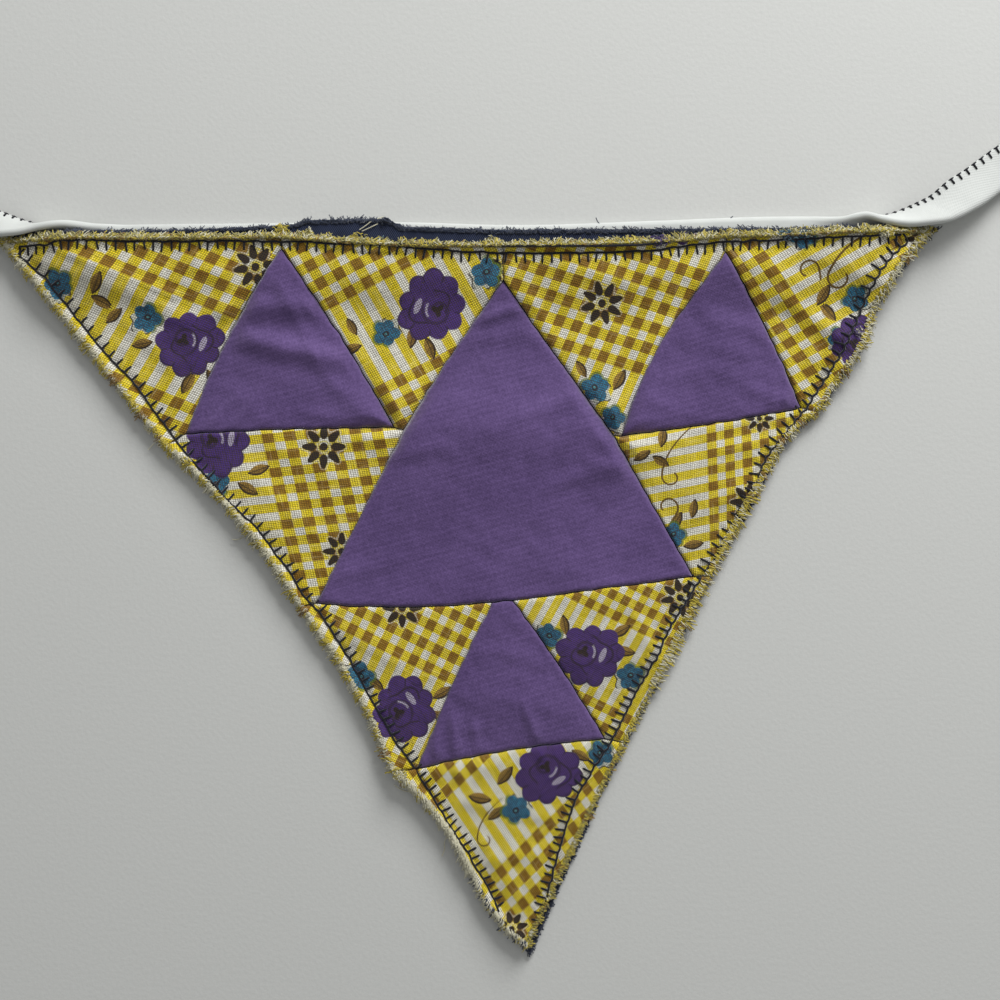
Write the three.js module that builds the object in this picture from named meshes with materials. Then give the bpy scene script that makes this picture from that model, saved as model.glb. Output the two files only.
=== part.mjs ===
import * as THREE from 'three';

// A handmade bunting flag, pieced from small triangles, on a folded tape, lying flat.
// Millimetres. +X runs along the tape to the right, +Y from the flag's tip to its tape,
// +Z up from the surface that the flag lies on.

// Cloth
const clothThickness = 1.0;
const seamGap = 0.35;
const frontGap = 0.58;

// Tape: one strip folded lengthwise
const tapeWidth = 11;
const tapeLayer = 1.0;
const tapeSlit = 0.3;
const tapeHeight = 2 * tapeLayer + tapeSlit;
const sectionSteps = 3;
const foldSteps = 4;

// How the backing climbs over the tape
const tapeClearance = 0.55;
const climbLength = 15;
const edgeClearance = 2;

// The tape rises out from under the flag's corners, which sink by this share past these places
const cornerSink = 0.75;
const rightSink = { start: 104, length: 18 };
const leftSink = { start: -118, length: 16 };

// Rows of triangles from a piece's point to its base
const backingRows = 36;
const largeRows = 15;
const smallRows = 10;
const printRows = 11;

// The flag's corners and the ends of its seams
const place = {
  cornerLeft: [-138.4, 71.9], topLeft: [-60.5, 73], topMiddle: [0.8, 70.6],
  topRight: [62.4, 73.1], cornerRight: [119.6, 74.6], tip: [7.5, -124.8],
  apexLeft: [-60.5, 69.5], apexLarge: [0.8, 60.8], apexRight: [62.4, 68.6],
  leftOuter: [-87.4, 18.5], leftInner: [-29.4, 20.2], leftMeet: [-26.9, 19.3],
  rightShoulder: [49.6, 51.2], rightInner: [33.8, 17.9], rightMeet: [31.6, 17.9],
  rightOuter: [83.7, 25.5],
  largeLeft: [-51.2, -28.8], largeRight: [53.8, -21.3],
  lowApexLeft: [-2, -28.4], lowApexRight: [3.4, -28], lowLeft: [-23, -74.8], lowRight: [29.1, -66.6],
  edgeLeftUpper: [-93.5, 14.8], edgeLeftMiddle: [-56, -29.8], edgeLeftLower: [-30.2, -75.4],
  edgeLeftTip: [-8.6, -104.2],
  edgeRightWave: [101, 42.8], edgeRightUpper: [88.6, 24.3], edgeRightMiddle: [58.8, -21.3],
  edgeRightNotch: [79.6, 16.6], edgeRightLower: [35, -67.5],
  backLeft: [-137.6, 74.1], backTuckStart: [-58, 76.2], backTuck: [-54, 77.6], backTuckEnd: [-31, 78],
  backStep: [-27.5, 75.8], backMiddle: [0, 74.9], backRight: [121.8, 75.6],
  backBulgeTop: [76.8, 11], backBulgeEnd: [67.8, -6], backTip: [8.4, -126.9],
};

// How far a cut side swings out to the left of the way from its first end to its second
const bows = [
  { from: 'apexLeft', to: 'leftOuter', bow: -2.2 },
  { from: 'apexLeft', to: 'leftInner', bow: 0.8 },
  { from: 'leftOuter', to: 'leftInner', bow: 0.3 },
  { from: 'apexRight', to: 'rightOuter', bow: 1.2 },
  { from: 'rightShoulder', to: 'rightInner', bow: -1.6 },
  { from: 'rightInner', to: 'rightOuter', bow: -0.5 },
  { from: 'apexLarge', to: 'leftMeet', bow: -0.6 },
  { from: 'largeLeft', to: 'lowApexLeft', bow: -1.3 },
  { from: 'lowLeft', to: 'lowRight', bow: 1.1 },
  { from: 'lowApexLeft', to: 'lowLeft', bow: -0.8 },
  { from: 'lowApexRight', to: 'lowRight', bow: 0.9 },
  { from: 'topLeft', to: 'topMiddle', bow: -0.9 },
  { from: 'backLeft', to: 'backTuckStart', bow: -0.5 },
  { from: 'topMiddle', to: 'topRight', bow: -0.7 },
  { from: 'edgeRightUpper', to: 'edgeRightNotch', bow: -0.4 },
  { from: 'edgeRightNotch', to: 'edgeRightMiddle', bow: -0.3 },
  { from: 'edgeRightLower', to: 'tip', bow: -0.3 },
  { from: 'cornerRight', to: 'edgeRightWave', bow: -2.6 },
  { from: 'backRight', to: 'edgeRightWave', bow: -2.8 },
  { from: 'edgeRightMiddle', to: 'edgeRightLower', bow: 0.3 },
  { from: 'edgeLeftUpper', to: 'edgeLeftMiddle', bow: 2.5 },
  { from: 'edgeLeftMiddle', to: 'edgeLeftLower', bow: 1.9 },
  { from: 'edgeLeftLower', to: 'edgeLeftTip', bow: 1.9 },
  { from: 'edgeLeftTip', to: 'tip', bow: -2 },
  { from: 'edgeLeftTip', to: 'backTip', bow: -1.9 },
  { from: 'edgeRightLower', to: 'backTip', bow: -0.3 },
];

// Soft ridges of the front: from one end to the other, with the height and half width of each
const ridges = [
  { name: 'left corner', x1: -113, y1: 66, x2: -84, y2: 47, height: 0.9, half: 8 },
  { name: 'right corner', x1: 77, y1: 59, x2: 94, y2: 46, height: 0.9, half: 8 },
  { name: 'under left triangle', x1: -74, y1: 6, x2: -55, y2: -14, height: 0.7, half: 9 },
  { name: 'beside large triangle', x1: 27, y1: 7, x2: 46, y2: 16, height: 0.8, half: 8 },
  { name: 'below right triangle', x1: 52, y1: 5, x2: 70, y2: 12, height: 0.7, half: 8 },
  { name: 'middle of large triangle', x1: -14, y1: 2, x2: 14, y2: -6, height: 0.8, half: 26 },
  { name: 'middle of left triangle', x1: -62, y1: 44, x2: -56, y2: 30, height: 0.5, half: 15 },
  { name: 'middle of right triangle', x1: 60, y1: 44, x2: 58, y2: 34, height: 0.5, half: 15 },
  { name: 'middle of low triangle', x1: -2, y1: -56, x2: 8, y2: -56, height: 0.5, half: 13 },
  { name: 'left of low triangle', x1: -34, y1: -42, x2: -20, y2: -48, height: 0.6, half: 9 },
  { name: 'right of low triangle', x1: 26, y1: -40, x2: 40, y2: -40, height: 0.6, half: 9 },
];

// Where the backing lifts off the surface: the centre, reach and height of each lift
const lifts = [
  { name: 'right corner over the twist', x: 99, y: 77, reach: 26, height: 2.6 },
  { name: 'left corner over the twist', x: -117, y: 75, reach: 25, height: 3 },
  { name: 'wavy right edge, upper', x: 101, y: 42, reach: 15, height: 1.4 },
  { name: 'wavy right edge, lower', x: 73, y: 0, reach: 13, height: 1.2 },
  { name: 'lump on the left edge', x: -30, y: -76, reach: 10, height: 1.1 },
  { name: 'tip', x: 9, y: -127, reach: 9, height: 0.8 },
];

// The tape's folded edge in plan, its heading, how its open and folded edges lean,
// its lowest height, the share of its width that is left where the twist gathers it,
// and the number of steps to the next row
const tapeRows = [
  { x: -187, y: 84.5, heading: -19, openLean: 180, foldLean: 180, lift: 0, width: 1, steps: 3 },
  { x: -168, y: 77.3, heading: -19, openLean: 180, foldLean: 180, lift: 0, width: 1, steps: 3 },
  { x: -154, y: 73.4, heading: -18, openLean: 165, foldLean: 172, lift: 1.2, width: 1, steps: 3 },
  { x: -144, y: 72.2, heading: -17, openLean: 145, foldLean: 155, lift: 1.6, width: 0.92, steps: 4 },
  { x: -134, y: 73, heading: -12, openLean: 112, foldLean: 132, lift: 1, width: 0.74, steps: 4 },
  { x: -126, y: 75.2, heading: -6, openLean: 72, foldLean: 110, lift: 0.4, width: 0.62, steps: 3 },
  { x: -120, y: 76.4, heading: -3, openLean: 28, foldLean: 84, lift: 0, width: 0.6, steps: 3 },
  { x: -113, y: 76.6, heading: -1, openLean: 0, foldLean: 42, lift: 0, width: 0.76, steps: 3 },
  { x: -103, y: 76.9, heading: 0, openLean: 0, foldLean: 0, lift: 0, width: 1, steps: 5 },
  { x: -67, y: 77.3, heading: 0, openLean: 0, foldLean: 0, lift: 0, width: 1, steps: 5 },
  { x: -30, y: 77.6, heading: 0, openLean: 0, foldLean: 0, lift: 0, width: 1, steps: 4 },
  { x: 4, y: 76.8, heading: 0, openLean: 0, foldLean: 0, lift: 0, width: 1, steps: 5 },
  { x: 44, y: 78, heading: 1, openLean: 0, foldLean: 0, lift: 0, width: 1, steps: 4 },
  { x: 74, y: 79.1, heading: 0, openLean: 0, foldLean: 0, lift: 0, width: 1, steps: 3 },
  { x: 86, y: 79.2, heading: 0, openLean: 0, foldLean: 0, lift: 0, width: 1, steps: 3 },
  { x: 95, y: 78.6, heading: 1, openLean: 0, foldLean: 36, lift: 0, width: 0.92, steps: 3 },
  { x: 100, y: 78.7, heading: 3, openLean: 20, foldLean: 79, lift: 0, width: 0.72, steps: 3 },
  { x: 105, y: 77, heading: 8, openLean: 68, foldLean: 120, lift: 0.4, width: 0.62, steps: 4 },
  { x: 113, y: 75.4, heading: 17, openLean: 112, foldLean: 142, lift: 1.4, width: 0.7, steps: 4 },
  { x: 122, y: 76.1, heading: 27, openLean: 138, foldLean: 156, lift: 2.4, width: 0.86, steps: 3 },
  { x: 131, y: 80, heading: 31, openLean: 162, foldLean: 172, lift: 3, width: 1, steps: 3 },
  { x: 143, y: 88.4, heading: 33, openLean: 178, foldLean: 180, lift: 1.8, width: 1, steps: 3 },
  { x: 156, y: 97.2, heading: 33, openLean: 180, foldLean: 180, lift: 0.3, width: 1, steps: 2 },
  { x: 164, y: 102.4, heading: 33, openLean: 180, foldLean: 180, lift: 0, width: 1, steps: 3 },
  { x: 187, y: 117.3, heading: 33, openLean: 180, foldLean: 180, lift: 0, width: 1, steps: 0 },
];

const colours = {
  purple: '#5b4783', print: '#cfb84a', navy: '#26303f', tape: '#e6e9e6',
};

// A smooth step from 0 to 1
function easeIn(value) {
  const t = Math.min(1, Math.max(0, value));
  return t * t * (3 - 2 * t);
}

// One column of the tape's table at a place along it, on a curve that never passes its rows
function tapeColumn(key, x) {
  let row = 0;
  while (row < tapeRows.length - 2 && x > tapeRows[row + 1].x) row += 1;
  const slope = (index) => {
    if (index < 1 || index > tapeRows.length - 2) return 0;
    const [before, here, after] = [tapeRows[index - 1], tapeRows[index], tapeRows[index + 1]];
    const rise = (here[key] - before[key]) / (here.x - before.x);
    const next = (after[key] - here[key]) / (after.x - here.x);
    return rise * next <= 0 ? 0 : (2 * rise * next) / (rise + next);
  };
  const [start, end] = [tapeRows[row], tapeRows[row + 1]];
  const span = end.x - start.x;
  const t = (x - start.x) / span;
  const straight = row === 0 || row === tapeRows.length - 2;
  if (straight) return start[key] + (end[key] - start[key]) * t;
  const t2 = t * t;
  const t3 = t2 * t;
  return (2 * t3 - 3 * t2 + 1) * start[key] + (t3 - 2 * t2 + t) * span * slope(row)
    + (3 * t2 - 2 * t3) * end[key] + (t3 - t2) * span * slope(row + 1);
}

// The height of the backing's underside: flat, but over the tape and where an edge lifts
function backingBottom(x, y) {
  const openEdge = tapeColumn('y', x) - tapeWidth;
  const rightFade = 1 - cornerSink * easeIn((x - rightSink.start) / rightSink.length);
  const leftFade = 1 - cornerSink * easeIn((leftSink.start - x) / leftSink.length);
  const climb = easeIn((y - openEdge + edgeClearance + climbLength) / climbLength);
  let height = (tapeHeight + tapeClearance) * climb * rightFade * leftFade;
  for (const lift of lifts) {
    const distance = Math.hypot(x - lift.x, y - lift.y);
    height += lift.height * easeIn(1 - distance / lift.reach);
  }
  return height;
}

// The height of the front's underside, which puffs a little off the backing
function frontBottom(x, y) {
  let height = backingBottom(x, y) + clothThickness + frontGap;
  for (const ridge of ridges) {
    const along = [ridge.x2 - ridge.x1, ridge.y2 - ridge.y1];
    const length = Math.hypot(...along);
    const shadow = ((x - ridge.x1) * along[0] + (y - ridge.y1) * along[1]) / length;
    const reach = Math.min(length, Math.max(0, shadow));
    const nearX = ridge.x1 + along[0] * reach / length;
    const nearY = ridge.y1 + along[1] * reach / length;
    height += ridge.height * easeIn(1 - Math.hypot(x - nearX, y - nearY) / ridge.half);
  }
  return height;
}

// The bow of the side between two places, seen from the first one
function bowBetween(from, to) {
  for (const row of bows) {
    if (row.from === from && row.to === to) return row.bow;
    if (row.from === to && row.to === from) return -row.bow;
  }
  return 0;
}

// A cut side through named places, as steps + 1 points, with a point at every place
function cutSide(names, steps) {
  const spans = names.slice(1).map((to, index) => {
    const from = names[index];
    const length = Math.hypot(place[to][0] - place[from][0], place[to][1] - place[from][1]);
    return { from, to, length, bow: bowBetween(from, to), count: 1 };
  });
  for (let spare = steps - spans.length; spare > 0; spare -= 1) {
    const longest = spans.reduce((a, b) => (b.length / b.count > a.length / a.count ? b : a));
    longest.count += 1;
  }
  const points = [place[names[0]]];
  for (const span of spans) {
    const [x1, y1] = place[span.from];
    const [x2, y2] = place[span.to];
    for (let step = 1; step <= span.count; step += 1) {
      const t = step / span.count;
      const swing = 4 * t * (1 - t) * span.bow / span.length;
      points.push([x1 + (x2 - x1) * t - (y2 - y1) * swing, y1 + (y2 - y1) * t + (x2 - x1) * swing]);
    }
  }
  return points;
}

// Moves every point of a closed outline inwards by the same distance
function inset(outline, distance) {
  const area = THREE.ShapeUtils.area(outline.map(([x, y]) => new THREE.Vector2(x, y)));
  const turn = Math.sign(area);
  const unit = (from, to) => {
    const length = Math.hypot(to[0] - from[0], to[1] - from[1]);
    return [(to[0] - from[0]) / length, (to[1] - from[1]) / length];
  };
  return outline.map((point, index) => {
    const into = unit(outline[(index + outline.length - 1) % outline.length], point);
    const out = unit(point, outline[(index + 1) % outline.length]);
    const normal = [-(into[1] + out[1]) * turn, (into[0] + out[0]) * turn];
    const scale = distance * 2 / (normal[0] ** 2 + normal[1] ** 2);
    return [point[0] + normal[0] * scale, point[1] + normal[1] * scale];
  });
}

// A closed mesh from points and triangles, turned so that its faces point out
function closedGeometry(points, triangles) {
  let volume = 0;
  for (const [a, b, c] of triangles) {
    const [p, q, r] = [points[a], points[b], points[c]];
    volume += p[0] * (q[1] * r[2] - q[2] * r[1]) - p[1] * (q[0] * r[2] - q[2] * r[0])
      + p[2] * (q[0] * r[1] - q[1] * r[0]);
  }
  const facing = volume > 0 ? triangles : triangles.map(([a, b, c]) => [a, c, b]);
  const geometry = new THREE.BufferGeometry();
  geometry.setAttribute('position', new THREE.Float32BufferAttribute(points.flat(), 3));
  geometry.setIndex(facing.flat());
  geometry.computeVertexNormals();
  return geometry;
}

// A three-sided piece of cloth: rows of triangles from its point to its base, in two skins.
// left and right run from the point to the base; a blunt point is blunt steps wide.
function clothGeometry({ left, right, base, rows, blunt = 0, shrink = 0, bottom }) {
  const leftSide = cutSide(left, rows);
  const rightSide = cutSide(right, rows);
  const baseSide = cutSide(base, rows + blunt);
  const tipSide = Array.from({ length: Math.max(0, blunt - 1) }, (_, index) => {
    const t = (index + 1) / blunt;
    return [leftSide[0][0] + (rightSide[0][0] - leftSide[0][0]) * t,
      leftSide[0][1] + (rightSide[0][1] - leftSide[0][1]) * t];
  });
  const leftPart = blunt ? leftSide : leftSide.slice(1);
  const around = [...rightSide, ...baseSide.slice(1, -1).reverse(), ...leftPart.reverse(),
    ...tipSide];
  const drawn = inset(around, shrink);
  const rim = { right: drawn.slice(0, rows + 1) };
  rim.base = drawn.slice(rows, rows + rows + blunt + 1).reverse();
  rim.left = [drawn[rows + rows + blunt]];
  for (let step = 1; step < leftPart.length; step += 1) rim.left.push(drawn[2 * rows + blunt + step]);
  rim.left.reverse();
  if (!blunt) rim.left.unshift(drawn[0]);

  const flat = [];
  const start = [];
  for (let row = 0; row <= rows; row += 1) {
    const steps = blunt + row;
    const weight = row / rows;
    start.push(flat.length);
    for (let step = 0; step <= steps; step += 1) {
      const u = steps ? step / steps : 0;
      const where = u * (rim.base.length - 1);
      const index = Math.min(rim.base.length - 2, Math.floor(where));
      const part = where - index;
      flat.push([0, 1].map((axis) => {
        const chord = rim.base[0][axis] * (1 - u) + rim.base[rim.base.length - 1][axis] * u;
        const curve = rim.base[index][axis] * (1 - part) + rim.base[index + 1][axis] * part;
        const across = rim.left[row][axis] * (1 - u) + rim.right[row][axis] * u;
        return across + (curve - chord) * weight;
      }));
    }
  }
  const count = flat.length;
  const points = [0, clothThickness].flatMap((rise) => (
    flat.map(([x, y]) => [x, y, Math.max(0, bottom(x, y)) + rise])));
  const triangles = [];
  const skin = (a, b, c) => triangles.push([a, b, c], [count + a, count + c, count + b]);
  for (let row = 0; row < rows; row += 1) {
    const steps = blunt + row;
    for (let step = 0; step <= steps; step += 1) {
      const [above, below] = [start[row] + step, start[row + 1] + step];
      skin(above, below + 1, below);
      if (step < steps) skin(above, above + 1, below + 1);
    }
  }
  const rightRim = start.map((first, row) => first + blunt + row);
  const baseRim = Array.from({ length: rows + blunt - 1 }, (_, index) => (
    start[rows] + rows + blunt - 1 - index));
  const tipRim = Array.from({ length: Math.max(0, blunt - 1) }, (_, index) => index + 1);
  const leftRim = start.slice(blunt ? 0 : 1).reverse();
  const loop = [...rightRim, ...baseRim, ...leftRim, ...tipRim];
  loop.forEach((here, index) => {
    const next = loop[(index + 1) % loop.length];
    triangles.push([here, count + next, next], [here, count + here, count + next]);
  });
  return closedGeometry(points, triangles);
}

// The folded tape's section, from its open edge to its folded edge and back
function tapeSection() {
  const half = tapeHeight / 2;
  const inner = tapeSlit / 2;
  const turn = tapeWidth - half;
  const outerArc = Array.from({ length: foldSteps + 1 }, (_, step) => {
    const angle = Math.PI * (step / foldSteps - 0.5);
    return [turn + half * Math.cos(angle), half * Math.sin(angle)];
  });
  const flats = Array.from({ length: sectionSteps }, (_, step) => turn * step / sectionSteps);
  const back = [...flats].reverse();
  return [
    ...flats.map((s) => [s, -half]), ...outerArc, ...back.map((s) => [s, half]),
    ...flats.map((s) => [s, inner]), [turn, inner], [turn + inner, 0], [turn, -inner],
    ...back.map((s) => [s, -inner]),
  ];
}

// The section at one place along the tape, curled as its two edges lean
function tapeRing(x) {
  const radians = Math.PI / 180;
  const heading = tapeColumn('heading', x) * radians;
  const open = tapeColumn('openLean', x) * radians;
  const gathered = tapeColumn('width', x);
  const curl = (tapeColumn('foldLean', x) * radians - open) / (tapeWidth * gathered);
  const curled = (s, n) => {
    const lean = open + curl * s;
    const straight = curl === 0;
    const across = straight ? s * Math.cos(open) : (Math.sin(lean) - Math.sin(open)) / curl;
    const up = straight ? s * Math.sin(open) : (Math.cos(open) - Math.cos(lean)) / curl;
    return [across - n * Math.sin(lean), up + n * Math.cos(lean)];
  };
  const ring = tapeSection().map(([s, n]) => curled(s * gathered, n));
  const foldAcross = curled(tapeWidth * gathered, 0)[0];
  const lowest = Math.min(...ring.map((point) => point[1]));
  const lift = tapeColumn('lift', x);
  const foldY = tapeColumn('y', x);
  return ring.map(([across, up]) => [
    x - Math.sin(heading) * (across - foldAcross),
    foldY + Math.cos(heading) * (across - foldAcross),
    up - lowest + lift,
  ]);
}

function tapeGeometry() {
  const stations = tapeRows.flatMap((row, index) => (
    Array.from({ length: row.steps }, (_, step) => (
      row.x + (tapeRows[index + 1].x - row.x) * step / row.steps))));
  stations.push(tapeRows[tapeRows.length - 1].x);
  const rings = stations.map(tapeRing);
  const size = rings[0].length;
  const triangles = [];
  for (let station = 0; station < rings.length - 1; station += 1) {
    for (let side = 0; side < size; side += 1) {
      const next = (side + 1) % size;
      const [a, b] = [station * size + side, station * size + next];
      triangles.push([a, b, b + size], [a, b + size, a + size]);
    }
  }
  const outline = tapeSection().map(([s, n]) => new THREE.Vector2(s, n));
  const last = (rings.length - 1) * size;
  for (const [a, b, c] of THREE.ShapeUtils.triangulateShape(outline, [])) {
    triangles.push([c, b, a], [last + a, last + b, last + c]);
  }
  return closedGeometry(rings.flat(), triangles);
}

function clothMesh(name, geometry, color) {
  const material = new THREE.MeshStandardMaterial({ color, roughness: 0.9, metalness: 0 });
  const mesh = new THREE.Mesh(geometry, material);
  mesh.name = name;
  return mesh;
}

// The thirteen cut patches of the front: each side runs from the piece's point to its base
const patches = [
  { name: 'purple_large', rows: largeRows, colour: colours.purple,
    left: ['apexLarge', 'leftMeet', 'largeLeft'], right: ['apexLarge', 'rightMeet', 'largeRight'],
    base: ['largeLeft', 'lowApexLeft', 'lowApexRight', 'largeRight'] },
  { name: 'purple_upper_left', rows: smallRows, colour: colours.purple,
    left: ['apexLeft', 'leftOuter'], right: ['apexLeft', 'leftInner'],
    base: ['leftOuter', 'leftInner'] },
  { name: 'purple_upper_right', rows: smallRows, colour: colours.purple,
    left: ['apexRight', 'rightShoulder', 'rightInner'], right: ['apexRight', 'rightOuter'],
    base: ['rightInner', 'rightOuter'] },
  { name: 'purple_lower', rows: smallRows, colour: colours.purple, blunt: 2,
    left: ['lowApexLeft', 'lowLeft'], right: ['lowApexRight', 'lowRight'],
    base: ['lowLeft', 'lowRight'] },
  { name: 'print_left_corner', rows: printRows, colour: colours.print,
    left: ['edgeLeftUpper', 'cornerLeft'],
    right: ['edgeLeftUpper', 'leftOuter', 'apexLeft', 'topLeft'],
    base: ['cornerLeft', 'topLeft'] },
  { name: 'print_top_left', rows: printRows, colour: colours.print,
    left: ['leftMeet', 'leftInner', 'apexLeft', 'topLeft'],
    right: ['leftMeet', 'apexLarge', 'topMiddle'], base: ['topLeft', 'topMiddle'] },
  { name: 'print_left_side', rows: printRows, colour: colours.print,
    left: ['edgeLeftMiddle', 'edgeLeftUpper'], right: ['edgeLeftMiddle', 'largeLeft', 'leftMeet'],
    base: ['edgeLeftUpper', 'leftOuter', 'leftInner', 'leftMeet'] },
  { name: 'print_top_right', rows: printRows, colour: colours.print,
    left: ['rightMeet', 'apexLarge', 'topMiddle'],
    right: ['rightMeet', 'rightInner', 'rightShoulder', 'apexRight', 'topRight'],
    base: ['topMiddle', 'topRight'] },
  { name: 'print_right_corner', rows: printRows, colour: colours.print,
    left: ['edgeRightUpper', 'rightOuter', 'apexRight', 'topRight'],
    right: ['edgeRightUpper', 'edgeRightWave', 'cornerRight'], base: ['topRight', 'cornerRight'] },
  { name: 'print_right_side', rows: printRows, colour: colours.print,
    left: ['edgeRightMiddle', 'largeRight', 'rightMeet'],
    right: ['edgeRightMiddle', 'edgeRightNotch', 'edgeRightUpper'],
    base: ['rightMeet', 'rightInner', 'rightOuter', 'edgeRightUpper'] },
  { name: 'print_low_left', rows: printRows, colour: colours.print,
    left: ['edgeLeftLower', 'edgeLeftMiddle'], right: ['edgeLeftLower', 'lowLeft', 'lowApexLeft'],
    base: ['edgeLeftMiddle', 'largeLeft', 'lowApexLeft'] },
  { name: 'print_low_right', rows: printRows, colour: colours.print,
    left: ['edgeRightLower', 'lowRight', 'lowApexRight'],
    right: ['edgeRightLower', 'edgeRightMiddle'],
    base: ['lowApexRight', 'largeRight', 'edgeRightMiddle'] },
  { name: 'print_tip', rows: printRows, colour: colours.print,
    left: ['tip', 'edgeLeftTip', 'edgeLeftLower'], right: ['tip', 'edgeRightLower'],
    base: ['edgeLeftLower', 'lowLeft', 'lowRight', 'edgeRightLower'] },
];

const bunting = new THREE.Group();
bunting.add(clothMesh('tape', tapeGeometry(), colours.tape));
bunting.add(clothMesh('backing', clothGeometry({
  left: ['backTip', 'edgeLeftTip', 'edgeLeftLower', 'edgeLeftMiddle', 'edgeLeftUpper', 'backLeft'],
  right: ['backTip', 'edgeRightLower', 'edgeRightMiddle', 'backBulgeEnd', 'backBulgeTop',
    'edgeRightNotch', 'edgeRightUpper', 'edgeRightWave', 'backRight'],
  base: ['backLeft', 'backTuckStart', 'backTuck', 'backTuckEnd', 'backStep', 'backMiddle', 'backRight'],
  rows: backingRows, bottom: backingBottom,
}), colours.navy));
for (const { name, colour, ...shape } of patches) {
  const geometry = clothGeometry({ ...shape, shrink: seamGap / 2, bottom: frontBottom });
  bunting.add(clothMesh(name, geometry, colour));
}

export default bunting;
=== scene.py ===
import math
import random

import bmesh
import bpy
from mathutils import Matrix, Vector, noise
from mathutils.bvhtree import BVHTree
from mathutils.kdtree import KDTree


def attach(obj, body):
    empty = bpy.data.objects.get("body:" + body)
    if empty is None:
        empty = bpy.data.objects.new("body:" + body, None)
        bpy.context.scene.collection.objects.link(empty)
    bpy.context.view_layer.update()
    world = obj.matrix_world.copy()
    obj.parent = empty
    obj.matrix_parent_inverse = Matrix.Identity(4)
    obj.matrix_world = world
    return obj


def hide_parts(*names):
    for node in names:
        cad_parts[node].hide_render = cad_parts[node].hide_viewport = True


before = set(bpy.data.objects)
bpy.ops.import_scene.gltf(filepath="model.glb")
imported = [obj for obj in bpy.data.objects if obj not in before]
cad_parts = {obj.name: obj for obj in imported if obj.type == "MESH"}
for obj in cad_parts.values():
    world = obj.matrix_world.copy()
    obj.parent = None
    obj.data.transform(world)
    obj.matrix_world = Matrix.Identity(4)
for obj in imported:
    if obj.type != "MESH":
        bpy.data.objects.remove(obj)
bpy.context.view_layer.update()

# The noise of vectors starts from the clock unless it is given a seed
noise_seed = 7
noise.seed_set(noise_seed)
lens = 50.0
sensor = 36.0
seen_width = 0.28
camera_height = seen_width * lens / sensor
scene = bpy.context.scene


class Value:
    """One output of a material's nodes, so that shader maths reads as a sum."""

    def __init__(self, tree, socket=None):
        self.tree = tree
        self.socket = socket

    def node(self, kind, settings, inputs, output=0):
        """A node of any kind: its settings first, then the values or links of its sockets."""
        made = self.tree.nodes.new(kind)
        for name, setting in settings.items():
            setattr(made, name, setting)
        for name, value in inputs.items():
            if isinstance(value, Value):
                self.tree.links.new(value.socket, made.inputs[name])
            else:
                made.inputs[name].default_value = value
        return Value(self.tree, made.outputs[output])

    def maths(self, operation, *values):
        return self.node("ShaderNodeMath", {"operation": operation}, dict(enumerate(values)))

    def __add__(self, other):
        return self.maths("ADD", self, other)

    def __radd__(self, other):
        return self.maths("ADD", other, self)

    def __sub__(self, other):
        return self.maths("SUBTRACT", self, other)

    def __rsub__(self, other):
        return self.maths("SUBTRACT", other, self)

    def __mul__(self, other):
        return self.maths("MULTIPLY", self, other)

    def __rmul__(self, other):
        return self.maths("MULTIPLY", other, self)

    def __truediv__(self, other):
        return self.maths("DIVIDE", self, other)

    def __pow__(self, other):
        return self.maths("POWER", self, other)

    def __abs__(self):
        return self.maths("ABSOLUTE", self)

    def sine(self):
        return self.maths("SINE", self)

    def most(self, other):
        return self.maths("MAXIMUM", self, other)

    def least(self, other):
        return self.maths("MINIMUM", self, other)

    def fade(self, low, high):
        """A smooth step from 0 at low to 1 at high; low may be the larger."""
        way = {"interpolation_type": "SMOOTHSTEP"}
        if low > high:
            return 1 - self.fade(high, low)
        return self.node("ShaderNodeMapRange", way, {0: self, 1: low, 2: high})

    def within(self, half, soft):
        """1 where the value is nearer to 0 than half, with a soft edge."""
        return abs(self).fade(half + soft, half - soft)

    def mix(self, first, second):
        """The first colour where this mask is 0, the second where it is 1."""
        return self.node("ShaderNodeMix", {"data_type": "RGBA"}, {0: self, 6: first, 7: second}, 2)

    def parts(self):
        """The x, y and z of a vector."""
        split = self.node("ShaderNodeSeparateXYZ", {}, {0: self})
        node = split.socket.node
        return [Value(self.tree, output) for output in node.outputs]

    def place(self):
        """Where each point of the object lies, in metres."""
        return self.node("ShaderNodeTexCoord", {}, {}, 3)

    def noise(self, place, scale, detail=2.0, roughness=0.5):
        inputs = {"Vector": place, "Scale": scale, "Detail": detail, "Roughness": roughness}
        return self.node("ShaderNodeTexNoise", {}, inputs)


def dye(red, green, blue):
    """A colour as a picture shows it, from 0 to 255, as a material needs it."""
    linear = [((part / 255 + 0.055) / 1.055) ** 2.4 for part in (red, green, blue)]
    return (*linear, 1.0)


def new_material(name, roughness, sheen=0.0):
    """A material, and a Value to build its nodes from."""
    material = bpy.data.materials.new(name)
    material.use_nodes = True
    shader = material.node_tree.nodes["Principled BSDF"]
    shader.inputs["Roughness"].default_value = roughness
    shader.inputs["Specular IOR Level"].default_value = 0.2
    shader.inputs["Sheen Weight"].default_value = sheen
    shader.inputs["Sheen Roughness"].default_value = 0.5
    return material, Value(material.node_tree)


def finish_material(start, colour, height, depth):
    """Joins a material's colour and relief, whose depth is in metres, to its shader."""
    shader = start.tree.nodes["Principled BSDF"]
    bump = start.node("ShaderNodeBump", {}, {"Strength": 1.0, "Distance": depth, "Height": height})
    start.tree.links.new(colour.socket, shader.inputs["Base Color"])
    start.tree.links.new(bump.socket, shader.inputs["Normal"])


def smooth_mesh(name, surface):
    """A mesh with a smooth look from a finished bmesh surface."""
    mesh = bpy.data.meshes.new(name)
    surface.to_mesh(mesh)
    surface.free()
    for polygon in mesh.polygons:
        polygon.use_smooth = True
    return mesh


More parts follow.
